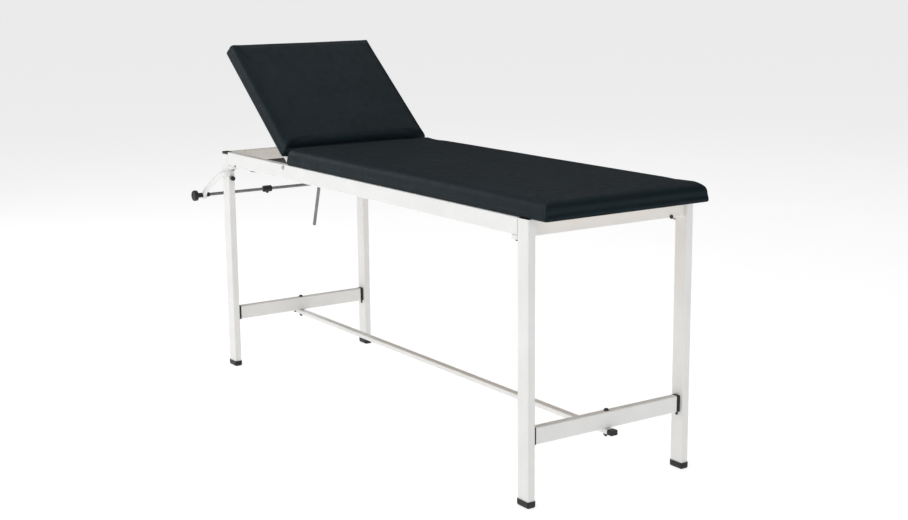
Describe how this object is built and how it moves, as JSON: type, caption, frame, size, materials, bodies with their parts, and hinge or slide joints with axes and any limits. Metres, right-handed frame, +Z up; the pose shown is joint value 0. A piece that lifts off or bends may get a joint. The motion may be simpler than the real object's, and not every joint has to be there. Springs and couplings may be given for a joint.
{
  "type": "medical exam table",
  "caption": "Padded exam couch on a white rectangular steel tube frame, with a raising backrest on a clamped prop rod and a paper roll holder at the head end.",
  "frame": {"origin": "on the floor, under the centre of the whole table's bounding box with the backrest raised", "axes": "+X along the table towards the foot end, +Y across the table towards the side the hinge bolts' far head is on, +Z up"},
  "size_m": [2.142, 0.711, 1.2158],
  "materials": {
    "white_paint": "satin",
    "dark_vinyl": "satin",
    "black_plastic": "satin",
    "black_paint": "satin",
    "plywood": "matte",
    "steel_rod": "satin",
    "dark_bolt": "satin"
  },
  "bodies": {
    "frame": {"bar_plug_foot_far": "black_plastic", "bar_plug_foot_near": "black_plastic", "bar_plug_head_far": "black_plastic", "bar_plug_head_near": "black_plastic", "corner_tab_foot_far": "white_paint", "corner_tab_foot_near": "white_paint", "corner_tab_head_far": "white_paint", "corner_tab_head_near": "white_paint", "foot_cap_foot_far": "black_plastic", "foot_cap_foot_near": "black_plastic", "foot_cap_head_far": "black_plastic", "foot_cap_head_near": "black_plastic", "foot_cross_rail": "white_paint", "head_cross_rail": "white_paint", "hinge_bolt_far": "steel_rod", "hinge_bolt_near": "steel_rod", "leg_foot_far": "white_paint", "leg_foot_near": "white_paint", "leg_head_far": "white_paint", "leg_head_near": "white_paint", "leg_plug_foot_far": "black_plastic", "leg_plug_foot_near": "black_plastic", "leg_plug_head_far": "black_plastic", "leg_plug_head_near": "black_plastic", "lower_bar_foot": "white_paint", "lower_bar_head": "white_paint", "main_board": "plywood", "main_pad": "dark_vinyl", "mid_cross_rail": "white_paint", "paper_arm_far": "white_paint", "paper_arm_near": "white_paint", "prop_cross_bar": "black_paint", "side_rail_far": "white_paint", "side_rail_near": "white_paint", "stretcher": "white_paint", "stretcher_bolt_foot": "dark_bolt", "stretcher_bolt_head": "dark_bolt", "stretcher_plug_foot": "black_plastic", "stretcher_plug_head": "black_plastic", "tab_bolt_foot_far": "dark_bolt", "tab_bolt_foot_near": "dark_bolt", "tab_bolt_head_far": "dark_bolt", "tab_bolt_head_near": "dark_bolt"},
    "backrest": {"backrest_pad": "dark_vinyl", "backrest_board": "plywood", "back_arm_near": "white_paint", "back_arm_far": "white_paint", "back_cross_tube": "white_paint", "prop_bracket": "black_paint"},
    "prop": {"prop_rod": "steel_rod"},
    "clamp": {"rod_clamp": "black_plastic"},
    "lock_knob": {"clamp_knob": "black_plastic"},
    "paper_roller": {"roll_rod": "steel_rod", "roll_knob_near": "black_plastic", "roll_knob_far": "black_plastic", "roll_collar_near": "black_plastic", "roll_collar_far": "black_plastic"},
    "roll_stopper": {"stopper": "black_plastic"},
    "arm_screw_near": {"arm_knob_near": "black_plastic"},
    "arm_screw_far": {"arm_knob_far": "black_plastic"}
  },
  "joints": [
    {"name": "backrest_hinge", "type": "hinge", "parent": "frame", "child": "backrest", "pos_m": [-0.41, 0, 0.81], "axis": [0, 1, 0], "range_deg": [-39.3, 15]},
    {"name": "prop_rod_pivot", "type": "hinge", "parent": "backrest", "child": "prop", "pos_m": [-0.61576, 0, 0.97842], "axis": [0, 1, 0], "range_deg": [-8, 20]},
    {"name": "clamp_swivel", "type": "hinge", "parent": "frame", "child": "clamp", "pos_m": [-0.67444, 0, 0.78221], "axis": [0, 1, 0], "range_deg": [-20, 8]},
    {"name": "lock_knob_turn", "type": "hinge", "parent": "clamp", "child": "lock_knob", "pos_m": [-0.67444, 0, 0.78221], "axis": [0.9581, 0, -0.2865], "range_deg": [-90, 90]},
    {"name": "paper_roller_spin", "type": "hinge", "parent": "frame", "child": "paper_roller", "pos_m": [-1.051, 0, 0.637], "axis": [0, 1, 0], "continuous": true},
    {"name": "roll_stopper_slide", "type": "slide", "parent": "paper_roller", "child": "roll_stopper", "axis": [0, 1, 0], "range_m": [-0.22, 0.3]},
    {"name": "arm_screw_near_turn", "type": "hinge", "parent": "frame", "child": "arm_screw_near", "pos_m": [-0.851, -0.2875, 0.722], "axis": [1, 0, 0], "range_deg": [-180, 180]},
    {"name": "arm_screw_far_turn", "type": "hinge", "parent": "frame", "child": "arm_screw_far", "pos_m": [-0.851, 0.2875, 0.722], "axis": [1, 0, 0], "range_deg": [-180, 180]}
  ],
  "couplings": [
    {"joint": "prop_rod_pivot", "follows": "backrest_hinge", "ratio": -0.5},
    {"joint": "clamp_swivel", "follows": "backrest_hinge", "ratio": 0.5}
  ]
}
